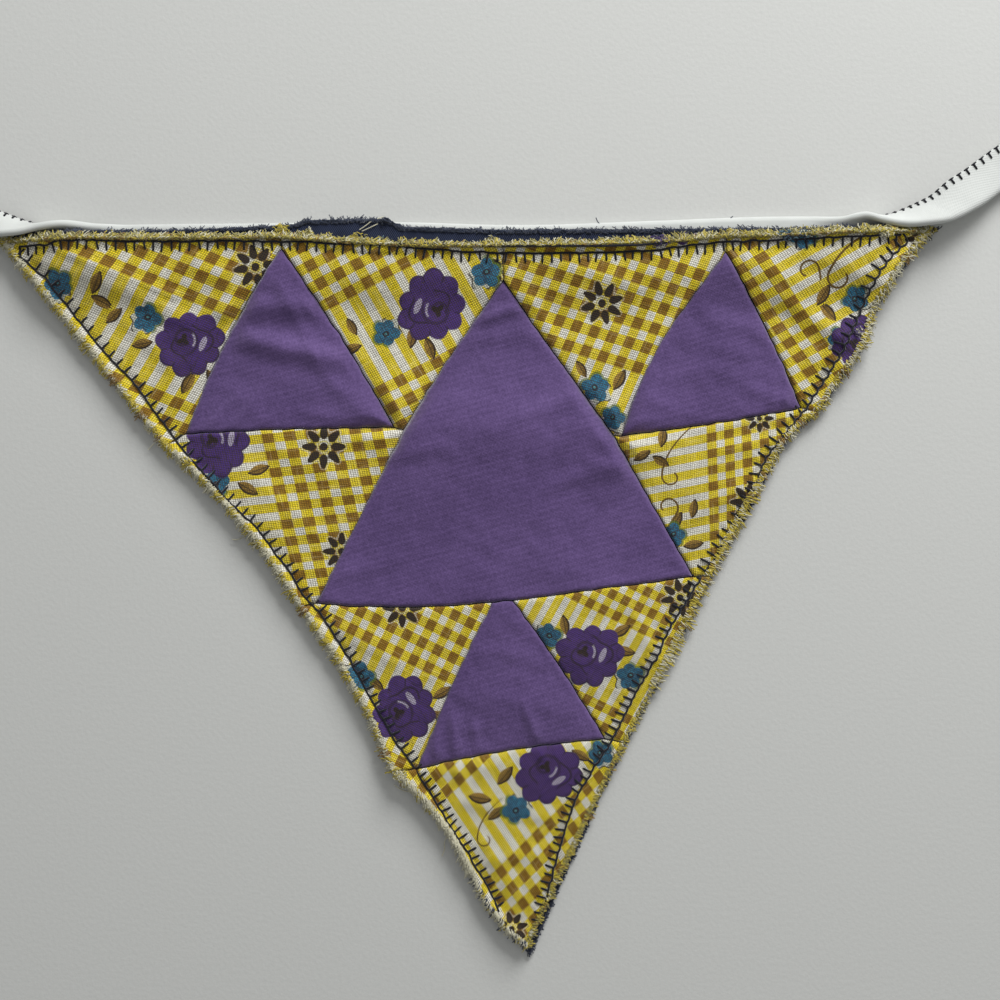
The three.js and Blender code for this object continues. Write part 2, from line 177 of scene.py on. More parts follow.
def new_object(name, data):
    """An object in the scene, at the origin."""
    made = bpy.data.objects.new(name, data)
    scene.collection.objects.link(made)
    return made


camera_data = bpy.data.cameras.new("camera")
camera_data.lens = lens
camera_data.sensor_width = sensor
camera_data.clip_start = 0.01
camera = new_object("camera", camera_data)
camera.location = (0, 0, camera_height)
scene.camera = camera
scene.view_settings.view_transform = "Standard"

floor_size = 3.0
floor_gap = 0.00005
floor_relief = 0.00005
floor_grid = bmesh.new()
bmesh.ops.create_grid(floor_grid, x_segments=2, y_segments=2, size=floor_size / 2)
bmesh.ops.translate(floor_grid, verts=floor_grid.verts, vec=(0, 0, -floor_gap))
floor = new_object("table_top", smooth_mesh("table_top", floor_grid))
floor_material, floor_start = new_material("pale table", 0.9)
floor_grain = floor_start.noise(floor_start.place(), 900.0, 3.0)
floor_colour = floor_grain.mix(dye(198, 199, 196), dye(206, 207, 204))
finish_material(floor_start, floor_colour, floor_grain, floor_relief)
floor.data.materials.append(floor_material)

lamps = [
    {"name": "window", "size": 0.5, "power": 12.3, "at": (0.36, 0.83, 0.5)},
    {"name": "ceiling", "size": 1.6, "power": 2.7, "at": (0.1, 0.2, 1.5)},
]
for lamp in lamps:
    light = bpy.data.lights.new(lamp["name"], "AREA")
    light.size = lamp["size"]
    light.energy = lamp["power"]
    holder = new_object(lamp["name"], light)
    holder.location = lamp["at"]
    holder.rotation_euler = (-Vector(lamp["at"])).to_track_quat("-Z", "Y").to_euler()
room_colour = (0.97, 0.98, 0.98, 1)
room_strength = 0.26
world = bpy.data.worlds.new("room")
world.use_nodes = True
room = world.node_tree.nodes["Background"]
room.inputs["Color"].default_value = room_colour
room.inputs["Strength"].default_value = room_strength
scene.world = world


# The tape. One strip of smooth white cotton, folded lengthwise to carry the flag's top edge.
# Its open edges are sewn together with black thread, and it turns over at each corner.
mm = 0.001
tape_width = 11.0
tape_half_height = 0.8
tape_cloth = 0.5
tape_across = 26
tape_along = 300
tape_start = -187.0
tape_end = 187.0
tape_flat_length = 398.0
tape_weave_pitch = 0.32
tape_relief = 0.00012
tape_ripple = 0.1
# Along the tape: x, y of the folded edge, heading, lean of the open and of the folded edge,
# the height of its lowest side, and the share of its width that the twist leaves, in
# millimetres and degrees
side_column, heading_column, open_column, fold_column, low_column, gather_column = range(1, 7)
tape_rows = [
    (-187, 84.5, -19, 180, 180, 0, 1), (-168, 77.3, -19, 180, 180, 0, 1),
    (-154, 73.4, -18, 165, 172, 1.2, 1), (-144, 72.2, -17, 145, 155, 1.6, 0.92),
    (-134, 73, -12, 112, 132, 1, 0.74), (-126, 75.2, -6, 72, 110, 0.4, 0.62),
    (-120, 76.4, -3, 28, 84, 0, 0.6), (-113, 76.6, -1, 0, 42, 0, 0.76),
    (-103, 76.9, 0, 0, 0, 0, 1), (-67, 77.3, 0, 0, 0, 0, 1), (-30, 77.6, 0, 0, 0, 0, 1),
    (4, 76.8, 0, 0, 0, 0, 1), (44, 78, 1, 0, 0, 0, 1), (74, 79.1, 0, 0, 0, 0, 1),
    (86, 79.2, 0, 0, 0, 0, 1), (95, 78.6, 1, 0, 36, 0, 0.92), (100, 78.7, 3, 20, 79, 0, 0.72),
    (105, 77, 8, 68, 120, 0.4, 0.62), (113, 75.4, 17, 112, 142, 1.4, 0.7),
    (122, 76.1, 27, 138, 156, 2.4, 0.86), (131, 80, 31, 162, 172, 3, 1),
    (143, 88.4, 33, 178, 180, 1.8, 1), (156, 97.2, 33, 180, 180, 0.3, 1),
    (164, 102.4, 33, 180, 180, 0, 1), (187, 117.3, 33, 180, 180, 0, 1),
]


def tape_value(column, x):
    """One column of the tape's rows at a place along it, on a curve that never passes them."""
    row = 0
    while row < len(tape_rows) - 2 and x > tape_rows[row + 1][0]:
        row += 1

    def slope(index):
        if index < 1 or index > len(tape_rows) - 2:
            return 0.0
        before, here, after = tape_rows[index - 1:index + 2]
        rise = (here[column] - before[column]) / (here[0] - before[0])
        following = (after[column] - here[column]) / (after[0] - here[0])
        return 0.0 if rise * following <= 0 else 2 * rise * following / (rise + following)

    start, end = tape_rows[row], tape_rows[row + 1]
    span = end[0] - start[0]
    t = (x - start[0]) / span
    if row in (0, len(tape_rows) - 2):
        return start[column] + (end[column] - start[column]) * t
    return ((2 * t ** 3 - 3 * t ** 2 + 1) * start[column]
            + (t ** 3 - 2 * t ** 2 + t) * span * slope(row)
            + (3 * t ** 2 - 2 * t ** 3) * end[column] + (t ** 3 - t ** 2) * span * slope(row + 1))


def tape_point(x, points):
    """Places points of the folded section, (from the open edge, above the middle), at x."""
    heading = math.radians(tape_value(heading_column, x))
    open_lean = math.radians(tape_value(open_column, x))
    gathered = tape_value(gather_column, x)
    curl = (math.radians(tape_value(fold_column, x)) - open_lean) / (tape_width * gathered)

    def curled(s, n):
        lean = open_lean + curl * s
        if abs(curl) < 1e-6:
            across, up = s * math.cos(open_lean), s * math.sin(open_lean)
        else:
            across = (math.sin(lean) - math.sin(open_lean)) / curl
            up = (math.cos(open_lean) - math.cos(lean)) / curl
        return across - n * math.sin(lean), up + n * math.cos(lean)

    thick = tape_half_height + tape_cloth / 2
    edge = [curled(tape_width * gathered * step / 8, side)
            for step in range(9) for side in (thick, -thick)]
    lowest = min(up for across, up in edge)
    fold_across = curled(tape_width * gathered, 0)[0]
    placed = []
    for s, n in points:
        across, up = curled(s * gathered, n)
        placed.append(Vector((
            x - math.sin(heading) * (across - fold_across),
            tape_value(side_column, x) + math.cos(heading) * (across - fold_across),
            up - lowest + tape_value(low_column, x))) * mm)
    return placed


def tape_section(way):
    """The middle of the tape's cloth, from its lower open edge (0) to its upper one (1)."""
    straight = tape_width - tape_half_height - tape_cloth / 2
    bend = math.pi * tape_half_height
    length = way * (2 * straight + bend)
    if length < straight:
        return length, -tape_half_height
    if length > straight + bend:
        return 2 * straight + bend - length, tape_half_height
    angle = (length - straight) / tape_half_height - math.pi / 2
    return straight + tape_half_height * math.cos(angle), tape_half_height * math.sin(angle)


strip = bmesh.new()
bmesh.ops.create_grid(strip, x_segments=tape_along, y_segments=tape_across, size=0.5)
strip_uv = strip.loops.layers.uv.new("weave")
tape_flat_width = 2 * (tape_width - tape_half_height) + math.pi * tape_half_height
for face in strip.faces:
    for loop in face.loops:
        loop[strip_uv].uv = (
            (loop.vert.co.x + 0.5) * tape_flat_length, (loop.vert.co.y + 0.5) * tape_flat_width)
for vertex in strip.verts:
    x = tape_start + (vertex.co.x + 0.5) * (tape_end - tape_start)
    ripple = noise.noise(Vector((x / 9, vertex.co.y * 2, 3.1))) * tape_ripple
    s, n = tape_section(vertex.co.y + 0.5)
    vertex.co = tape_point(x, [(s, n + ripple if n > 0 else n)])[0]
bmesh.ops.recalc_face_normals(strip, faces=strip.faces)
tape = new_object("tape_cloth", smooth_mesh("tape_cloth", strip))
wall = tape.modifiers.new("cloth", "SOLIDIFY")
wall.thickness = tape_cloth * mm
wall.offset = 0

tape_material, cotton = new_material("white cotton", 0.75, 0.25)
tape_uv = cotton.node("ShaderNodeUVMap", {"uv_map": "weave"}, {})
tape_x, tape_y, _ = tape_uv.parts()
to_weave = math.pi / tape_weave_pitch
tape_weave = (tape_x * to_weave).sine() * (tape_y * to_weave).sine()
tape_cloud = cotton.noise(tape_uv, 0.15, 3.0)
tape_colour = (tape_cloud * 0.8 + tape_weave * 0.1).mix(dye(196, 199, 196), dye(211, 214, 210))
finish_material(cotton, tape_colour, tape_weave * 0.3 + tape_cloud * 1.5, tape_relief)
tape.data.materials.append(tape_material)
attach(tape, "root")
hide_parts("tape")


# The backing. One triangle of navy twill, a little larger than the pieced front, which shows
# along the top, the right edge and the tip. It lies over the tape and is sewn to it.
backing_thickness = 0.9
backing_weave = 0.55
backing_relief = 0.00018
backing_cuts = 3
backing_ripple = 0.00015
ripples_in_metre = 90
merge_gap = 0.000002


def top_skin(node, cuts):
    """A copy of the upper skin of a CAD cloth, divided more finely and smoothed in height."""
    skin = bmesh.new()
    skin.from_mesh(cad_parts[node].data)
    bmesh.ops.remove_doubles(skin, verts=skin.verts, dist=merge_gap)
    under = [face for face in skin.faces if face.normal.z < 0.5]
    bmesh.ops.delete(skin, geom=under, context="FACES")
    bmesh.ops.subdivide_edges(skin, edges=skin.edges, cuts=cuts, use_grid_fill=True)
    bmesh.ops.triangulate(skin, faces=[face for face in skin.faces if len(face.verts) > 4])
    for _ in range(3 * cuts):
        bmesh.ops.smooth_vert(skin, verts=skin.verts, factor=0.5, use_axis_z=True)
    return skin


def cloth_piece(name, skin, material, node, thickness):
    area = sum(face.calc_area() for face in skin.faces)
    piece = new_object(name, smooth_mesh(name, skin))
    piece.data.materials.append(material)
    thick = piece.modifiers.new("cloth", "SOLIDIFY")
    thick.thickness = thickness * mm
    thick.offset = -1
    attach(piece, "root")
    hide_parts(node)


backing_material, navy = new_material("navy twill", 0.9, 0.3)
backing_x, backing_y, _ = navy.place().parts()
twill = ((backing_x + backing_y * 0.6) * (2 * math.pi / (backing_weave * mm))).sine()
backing_cloud = navy.noise(navy.place(), 260.0, 4.0, 0.65)
backing_colour = (backing_cloud * 0.9 + twill * 0.18).mix(dye(15, 22, 44), dye(46, 57, 86))
finish_material(navy, backing_colour, twill * 0.5 + backing_cloud, backing_relief)

backing_skin = top_skin("backing", backing_cuts)
for vertex in backing_skin.verts:
    vertex.co.z += noise.noise(vertex.co * ripples_in_metre) * backing_ripple
backing_top = BVHTree.FromBMesh(backing_skin)
cloth_piece("backing_cloth", backing_skin, backing_material, "backing",
            backing_thickness)


# The purple triangles: one large and three small, of plain purple cotton. Each is cut with a
# seam allowance, folded under where it meets its neighbours, and pressed.
cloth_thickness = 0.6
thread_pitch = 0.41
seam_reach = 1.0
seam_dip = 0.4
seam_close = 0.15
seam_wander = 0.26
# How deep the stitch line and the prongs' threads press the cloth in, and how far around
line_pull, line_reach = 0.45, 0.7
prong_pull, prong_reach = 0.3, 0.5
pucker_height, pucker_size, pucker_reach = 0.3, 2.4, 1.6
line_step = 0.4
patch_cuts = 7
seed_step = 3.7
purple_relief = 0.00013
# The soft ripples of the cloth: their height, their size across and along, and their seed
ripples = [(0.5, 16, 13, 0), (0.2, 4.5, 3.6, 5)]
# Where the blanket stitch runs, seen from above, and where the front's raw edges lie
top_line = [
    (-133, 70), (-124.6, 70.1), (-120.7, 71), (-98.8, 71.3), (-68.6, 71.3), (-54.9, 71.1),
    (-46.6, 70.8), (-28.8, 70.2), (-19.2, 69), (-8.2, 68.5), (0, 68.2), (8.2, 68.2), (27.4, 68.3),
    (38.4, 68.7), (43.9, 69.1), (52.1, 70.3), (64.5, 71.3), (82.3, 71.8), (96, 72.2),
    (104.3, 72.7), (110, 73),
]
left_line = [
    (-133.3, 67.9), (-125.6, 61.3), (-120.2, 54.3), (-114, 45.9), (-108.1, 38.9), (-102.8, 33.9),
    (-96.3, 24.9), (-89.9, 16.2), (-85.1, 10.6), (-73.9, -1.7), (-68, -7), (-63.8, -12.9),
    (-58.2, -20.4), (-55.2, -25.8), (-51, -30.2), (-46.5, -36.7), (-41.7, -44.5), (-29.4, -66.6),
    (-23.5, -75), (-17.9, -84), (-12.9, -91.6), (-8.1, -99.4), (-3.1, -108.1), (0, -114.5),
]
right_line = [
    (112.5, 71.9), (107.8, 67.8), (104.6, 63.7), (101.7, 57.4), (98.3, 49), (94.1, 40.3),
    (90.4, 34.2), (86, 27.2), (81.2, 21.3), (74.8, 13.7), (72, 8.4), (70.3, 2.5), (67.2, -3.4),
    (62.7, -10.4), (58.5, -17.4), (55.4, -22.1), (51, -29.1), (46.8, -36.1), (43.4, -43.4),
    (37.5, -53.8), (32.8, -63.8), (30.2, -68.3), (25.8, -74.8), (21, -82.6), (17.9, -91.8),
    (16, -99.1), (12.9, -110), (10.9, -118.4),
]
left_raw = [
    (-138.4, 71.9), (-93.5, 14.8), (-82.7, 4.9), (-72.8, -5.9), (-63.9, -17.4), (-56, -29.8),
    (-45.9, -44.2), (-37.3, -59.4), (-30.2, -75.4), (-21.6, -84), (-14.4, -93.6), (-8.6, -104.2),
    (-4.6, -112.2), (0.7, -119), (7.5, -124.8),
]
right_raw = [
    (119.6, 74.6), (111.4, 65.2), (105.2, 54.6), (101, 42.8), (88.6, 24.3), (83.8, 20.8),
    (79.6, 16.6), (72.4, 4.1), (65.5, -8.5), (58.8, -21.3), (51.1, -36.8), (43.2, -52.2),
    (35, -67.5), (25.6, -86.5), (16.4, -105.6), (7.5, -124.8),
]
top_raw = [
    (-138.4, 71.9), (-60.5, 73), (-40.1, 71.4), (-19.7, 70.6), (0.8, 70.6), (21.4, 70.8),
    (41.9, 71.6), (62.4, 73.1), (119.6, 74.6),
]
# Each run of stitches: its line, the side that the prongs point to (left of the way is 1),
# the stitch pitch at its start and end, and how far the line bulges between stitches there
stitch_runs = [
    (top_line, -1, 2.5, 2.5, 0.1, 0.1), (left_line, 1, 3.2, 2.1, 0.25, 0.1),
    (right_line, -1, 2.9, 2.1, 0.9, 0.1),
]
# Creases: where each starts and ends, its height (below zero for a valley) and half width
creases = [
    (-4, 50.5, 6, 54, 1, 1.8), (-7, 45, 9, 46.5, 0.4, 2.6), (-24, 21, 26, 20, 2.4, 11),
    (-36, -14, 38, -12, -0.5, 10), (-76, 52.5, -54, 53.5, 1.7, 3.4),
    (-68, 44, -47, 39.5, 1.8, 3.1), (15.7, 4.5, 37, 11.2, 0.6, 2.2),
    (6.7, 23.5, 22.4, 29.1, 0.6, 2.4), (-29, 12.3, -17, 15, 0.5, 2.2),
    (-44, -21, -30, -17, 0.5, 2.6), (-120.4, 68.4, -90.7, 56.7, 0.6, 1.3),
    (60, 50, 74, 46, 0.7, 3), (79, 27, 80.5, 35, 0.8, 1.5), (75.5, 27, 76, 32, 0.5, 1.4),
    (-79.8, 21, -72.8, 28.5, 0.4, 1.5), (-74.2, 19.6, -66.6, 30, 0.4, 1.7),
    (-52, 24, -38, 20, 0.35, 2), (-66, 60, -58, 58, 0.35, 3), (72, 30, 82, 26.5, 0.55, 2.4),
    (50, 46, 68, 41, 0.5, 3.4), (56, 36, 76, 35, 0.45, 3.4), (44, 27, 58, 22, 0.35, 2.2),
    (-18.5, -62, -17.5, -74, 0.9, 1.6), (-13, -62, -12, -75, 0.8, 1.5),
    (-7, -64, -6, -74, 0.7, 1.6), (8, -60, 11.5, -70, 0.9, 1.7), (-6, -42, 8, -44, 0.4, 2.6),
    (-10, -54, 14, -57, 0.35, 3.4), (29, 16.5, 46, 12, 0.5, 2.6), (27, 10, 43, 5.5, 0.45, 2.6),
    (-60, 58, -52, 41, 0.5, 2), (-49, 36, -40, 26, 0.45, 2.2), (-112, 63, -88, 50, 0.8, 2.8),
    (-104, 50, -92, 38, 0.5, 2.4), (-126, 66, -108, 58, 0.5, 2.4), (-84, 66, -72, 58, 0.4, 3),
    (79, 56, 93, 46, 0.8, 2.6), (86, 68, 104, 60, 0.6, 2.6), (70, 66, 84, 60, 0.5, 2.8),
    (88, 40, 97, 36, 0.5, 2.2), (-70, 8, -52, -8, 0.5, 2.6), (-24, 22, -34, 6, 0.45, 2.4),
    (-60, 14, -40, 4, 0.4, 3), (8, 56, 22, 30, 0.5, 2.2), (44, 66, 40, 44, 0.45, 2.4),
    (16, 66, 34, 60, 0.4, 2.6), (55, -4, 66, 3, 0.6, 2.2), (48, -16, 58, -8, 0.5, 2),
    (62, 14, 76, 16, 0.45, 2.2), (-44, -36, -30, -44, 0.45, 2.4), (-34, -58, -22, -50, 0.4, 2.2),
    (36, -30, 44, -44, 0.5, 2.2), (14, -34, 26, -52, 0.4, 2.4), (-8, -84, 12, -88, 0.5, 2.4),
    (0, -100, 10, -98, 0.45, 2), (-4, -96, 4, -110, 0.4, 1.8),
]


def walk(points, pitch_start, pitch_end):
    """Places along a line through the points, at a pitch that changes evenly along it."""
    lengths = [math.dist(a, b) for a, b in zip(points, points[1:])]
    total = sum(lengths)
    places = []
    gone = 0.0
    while gone < total:
        left, index = gone, 0
        while left > lengths[index]:
            left -= lengths[index]
            index += 1
        a, b = Vector(points[index]), Vector(points[index + 1])
        way = (b - a).normalized()
        places.append((a.lerp(b, left / lengths[index]), way))
        gone += pitch_start + (pitch_end - pitch_start) * gone / total
    return places


def point_tree(points):
    """A tree for finding the nearest of points in millimetres, seen from above."""
    tree = KDTree(len(points))
    for index, point in enumerate(points):
        tree.insert((point[0], point[1], 0), index)
    tree.balance()
    return tree


def line_tree(*lines):
    return point_tree([place for line in lines for place, _ in walk(line, line_step, line_step)])


stitch_random = random.Random(11)
stitch_rows = []
for line, side, pitch_start, pitch_end, bulge_start, bulge_end in stitch_runs:
    stitch_row = []
    stitch_places = walk(line, pitch_start, pitch_end)
    for order, (place, way) in enumerate(stitch_places):
        bulge = bulge_start + (bulge_end - bulge_start) * order / len(stitch_places)
        inward = Vector((-way.y, way.x)) * side
        place = place + inward * stitch_random.uniform(-0.2, 0.2)
        prong = inward * stitch_random.uniform(2.4, 3.1) + way * stitch_random.uniform(-0.5, 0.5)
        loop = place - inward * bulge + way * (pitch_start + pitch_end) / 4
        stitch_row.append((place, prong, loop))
    stitch_rows.append(stitch_row)
holes = point_tree([place + prong * part for row in stitch_rows for place, prong, _ in row
                    for part in (0.3, 0.65, 1.0)])
spine_tree = line_tree(top_line, left_line, right_line)
raw_tree = line_tree(left_raw, top_raw, right_raw)


def crease_height(x, y):
    """The height in millimetres that the creases add at a place in millimetres."""
    total = 0.0
    for x1, y1, x2, y2, height, half in creases:
        if min(x1, x2) - 3 * half < x < max(x1, x2) + 3 * half:
            along = Vector((x2 - x1, y2 - y1))
            offset = Vector((x - x1, y - y1))
            way = offset.dot(along) / along.length_squared
            side = abs(along.x * offset.y - along.y * offset.x) / along.length
            end = max(0.0, -way, way - 1.0) * along.length
            distance = math.hypot(side, end * 0.6)
            if distance < 2.5 * half:
                total += height * math.exp(-(distance / half) ** 2)
    return total


def raw_roll(x, y, raw):
    """How far a front edge that is left raw curls up, this far inside it."""
    if y > 69:
        height, reach = 0.7, 1.2
    elif x < -30 or y < -75 and x < -0.3 * (y + 100):
        height, reach = (1.1, 1.5) if y < -75 else (0.8, 1.4)
    else:
        height, reach = 0.45, 1.2
    return height * math.sqrt(max(0.0, 1 - (raw / reach - 1) ** 2))


def press(skin, seed, closing_side):
    """Gives a patch its creases, its seams folded under and the pull of its stitches.

    closing_side is -1 if the seams on its left are pressed shut, and 1 for those on its right.
    """
    seam_points = []
    outward = {}
    for edge in skin.edges:
        if edge.is_boundary:
            middle = (edge.verts[0].co + edge.verts[1].co) / 2 / mm
            if raw_tree.find((middle.x, middle.y, 0))[2] > 0.9:
                seam_points += [middle, edge.verts[0].co / mm]
            along = (edge.verts[1].co - edge.verts[0].co).normalized()
            out = Vector((along.y, -along.x))
            if out.dot((middle - edge.link_faces[0].calc_center_median() / mm).xy) < 0:
                out.negate()
            for vertex in edge.verts:
                outward[vertex] = outward.get(vertex, Vector((0, 0))) + out / 2
    seams = point_tree(seam_points)
    for vertex in skin.verts:
        x, y = vertex.co.x / mm, vertex.co.y / mm
        at = (x, y, 0)
        seam, raw = seams.find(at)[2], raw_tree.find(at)[2]
        rise = crease_height(x, y)
        for height, wide, high, own_seed in ripples:
            rise += height * noise.noise(Vector((x / wide, y / high, seed + own_seed)))
        pucker = noise.noise(Vector((x / pucker_size, y / pucker_size, seed + 9)))
        rise += pucker_height * pucker * math.exp(-seam / pucker_reach)
        rise *= min(1.0, seam / 3)
        turn = max(0.0, 1 - seam / seam_reach)
        pull = line_pull * math.exp(-(spine_tree.find(at)[2] / line_reach) ** 2)
        pull += prong_pull * math.exp(-(holes.find(at)[2] / prong_reach) ** 2)
        vertex.co.z += (rise - seam_dip * turn * turn - pull + raw_roll(x, y, raw)) * mm
        wander = noise.noise_vector(Vector((x / 2.6, y / 2.6, 0.7))) * math.exp(-seam / 1.5)
        vertex.co.x += wander.x * seam_wander * mm
        vertex.co.y += wander.y * seam_wander * mm
        if vertex in outward and seam < 0.9:
            shut = seam_close if outward[vertex].x * closing_side > 0.2 else 0.04
            vertex.co.x += outward[vertex].x * shut * mm
            vertex.co.y += outward[vertex].y * shut * mm


def woven(start, across, along):
    """The look of a plain weave from places counted in threads: its gaps, which the cloths use both
    as relief and as painted shade, and its yarns' tone.
    """
    gaps = 1 - abs((across * math.pi).sine()) * abs((along * math.pi).sine())
    warp_place = start.node("ShaderNodeCombineXYZ", {}, {0: across * 0.62, 1: along * 0.06})
    weft_place = start.node("ShaderNodeCombineXYZ", {}, {0: across * 0.06, 1: along * 0.62})
    yarns = start.noise(warp_place, 1.0, 1.0).most(start.noise(weft_place, 1.0, 1.0))
    return gaps, yarns


purple_material, purple_start = new_material("purple cotton", 0.82, 0.35)
purple_place = purple_start.place()
purple_x, purple_y, _ = purple_place.parts()
to_threads = 1 / (thread_pitch * mm)
purple_warp = (purple_x * 0.97 + purple_y * 0.26) * to_threads
purple_weft = (purple_y * 0.97 - purple_x * 0.26) * to_threads
purple_gaps, purple_yarns = woven(purple_start, purple_warp, purple_weft)
purple_cloud = purple_start.noise(purple_place, 45.0, 4.0, 0.6)
fuzz = purple_start.noise(purple_place, 1300.0, 2.0, 0.7)
purple_ribs = (purple_weft * 0.5 * math.pi).sine() * (fuzz * 0.6)
purple_mask = purple_cloud * 0.7 + (purple_yarns - 0.55) * 0.5 + (fuzz - 0.5) * 0.9 + 0.25
# The weave's gaps are darkened as painted shade between the threads; the rest is the cloth's own
# uneven tone and ribs
purple_mask = purple_mask - purple_gaps * 0.25 + purple_ribs * 0.15
purple_colour = purple_mask.mix(dye(66, 48, 92), dye(112, 89, 142))
purple_height = purple_yarns * 0.5 + fuzz * 0.7 - purple_gaps * 0.3 + purple_ribs * 0.3
finish_material(purple_start, purple_colour, purple_height, purple_relief)

front_skins = []
for order, patch in enumerate(("large", "upper_left", "upper_right", "lower")):
    skin = top_skin("purple_" + patch, patch_cuts)
    press(skin, order * seed_step, -1)
    front_skins.append(skin.copy())
    cloth_piece(patch + "_triangle", skin, purple_material, "purple_" + patch,
                cloth_thickness)


# The printed patches: nine pieces of one cotton print. White and yellow stripes run through
# the cloth, bands of check cross them, and flowers lie between and over the bands.
check_rows = 6
print_repeat = 10
threads_in_check = 9.5
print_relief = 0.00017
first_print_seed = 20
# How the print lies on each patch, in millimetres: the middle of a brown check, that check's
# row in the repeat, the step to the next check across, and the step to the next row
print_lay = {
    "left_corner": ((-102.2, 63.4), 0, (5.54, -2.24), (3.08, 5.04)),
    "top_left": ((-26.5, 65.4), 0, (5.04, 2.58), (-2.8, 4.9)),
    "left_side": ((-63.4, 12.4), 0, (1.09, -4.76), (6.02, 0.62)),
    "top_right": ((33.5, 38.4), 0, (4.84, -1.5), (2.35, 5.38)),
    "right_corner": ((80.6, 54.9), 5, (2.8, -3.98), (5.74, 3.22)),
    "right_side": ((59.1, 8.4), 0, (0.14, -4.54), (4.84, 0.98)),
    "low_left": ((-28.3, -42.3), 0, (4.26, -2.13), (2.41, 4.82)),
    "low_right": ((28.8, -30.5), 0, (3.7, -1.79), (2.41, 4.28)),
    "tip": ((3.8, -100), 0, (3.39, 3.28), (3.02, -4.48)),
}
# Flowers and leaves of each patch: the middle, the size from there to the rim, and the turn
flowers = {
    "left_corner": [(-86.2, 43.4, 10.2, 0)],
    "top_left": [(-19, 53.8, 10.6, 180)],
    "left_side": [(-78.4, 16.2, 10.4, 15)],
    "right_corner": [(99.4, 43.6, 8.4, 40)],
    "low_left": [(-26.6, -58.2, 10, 60)],
    "low_right": [(24.9, -43.1, 10, 0)],
    "tip": [(13.4, -75.9, 10, 324)],
    "top_right": [(50.4, 77.5, 8, 300)],
}
sprigs = {
    "left_corner": [(-122.1, 59.6, 4.3, 60), (-98, 50.4, 4.3, 10)],
    "top_left": [(-31.6, 46.5, 4, 200), (-3.9, 62.7, 4.4, 20)],
    "left_side": [(-79.2, 4.5, 4.4, 250)],
    "top_right": [(26.6, 31.1, 4.2, 110), (31.4, 22.7, 3.6, 80)],
    "right_corner": [(83.4, 73.1, 4.2, 0), (98.6, 55.7, 3.8, 120), (94.1, 44.5, 3.6, 60)],
    "right_side": [(48.2, -9.8, 3.6, 30)],
    "low_left": [(-38.9, -49, 4.2, 300)],
    "low_right": [(13.4, -37.8, 3.8, 330), (36.1, -49, 4, 10)],
    "tip": [(4.5, -86, 4.2, 200), (28, -70.6, 3.8, 100)],
}
daisies = {
    "left_corner": [(-67.5, 64.4, 6.2, 10)],
    "top_left": [(1.4, 63, 5, 0)],
    "left_side": [(-49, 14.8, 6.2, 0), (-44, -14.3, 5.4, 0)],
    "top_right": [(28.3, 54.6, 6, 15)],
    "right_side": [(69.4, -0.6, 5.6, 0), (72.2, 22.7, 4, 0)],
    "low_left": [(-27.2, -30, 5.6, 0)],
    "low_right": [(50.1, -27.2, 5.4, 10)],
    "right_corner": [(116, 72, 4.2, 0)],
    "tip": [(3.2, -119, 4.6, 12)],
}
leaves = {
    "left_corner": [(-111.2, 59.9, 3.4, 60), (-110.3, 54.9, 3.4, 150), (-107.2, 51.2, 3.2, 40),
                    (-99.4, 43.4, 3.2, 10), (-86.8, 32.6, 3.6, 240), (-80, 33.6, 3.2, 300)],
    "top_left": [(-41.2, 48.2, 2.8, 120), (-41.4, 42, 3.2, 20), (-24.4, 45.4, 3.4, 80),
                 (-19.5, 42.2, 3.4, 110)],
    "left_side": [(-70, 3.2, 3.4, 330), (-67, 8.4, 3.2, 20)],
    "top_right": [(33.2, 33.4, 3.4, 60), (22.6, 36.4, 2.8, 120)],
    "right_corner": [(89.6, 56.8, 3.4, 60), (91, 52.2, 3.4, 130)],
    "right_side": [(45.1, 17.4, 3, 80), (39.4, 12.3, 2.8, 30), (44.6, 10.8, 2.8, 150),
                   (49, -6, 3.2, 60), (53.8, -2.4, 2.8, 80), (53.8, -12.4, 3, 10)],
    "low_left": [(-16, -53.6, 3.2, 30), (-16.4, -60.6, 3.2, 320), (-34.6, -51, 3, 140)],
    "low_right": [(33.6, -36.4, 3.2, 30), (34.6, -42, 3.2, 350), (18, -34.8, 3, 100)],
    "tip": [(1.4, -76.6, 3.4, 50), (-5.6, -82.9, 3.4, 350), (-1.1, -87.1, 3, 40),
            (22.4, -71, 3, 330)],
}
scrolls = {
    "right_corner": [(85, 63.4, 3, 200), (93.8, 61.4, 3.4, 340)],
    "right_side": [(47.6, 6.4, 2.6, 0), (46.6, -2, 3, 160)],
    "tip": [(-4.2, -94.4, 2.1, 0)],
}
motif_kinds = {
    "flower": flowers, "sprig": sprigs, "daisy": daisies, "leaf": leaves, "scroll": scrolls}
nowhere = Vector((9.0, 9.0, 0.0))
raw_far = 5.0


def in_print(patch, x, y):
    """Where a place of a patch lies in the print: checks across it and rows along it."""
    (x0, y0), row, across, up = print_lay[patch]
    turn = across[0] * up[1] - across[1] * up[0]
    x, y = x - x0, y - y0
    return (x * up[1] - y * up[0]) / turn, (across[0] * y - across[1] * x) / turn + row


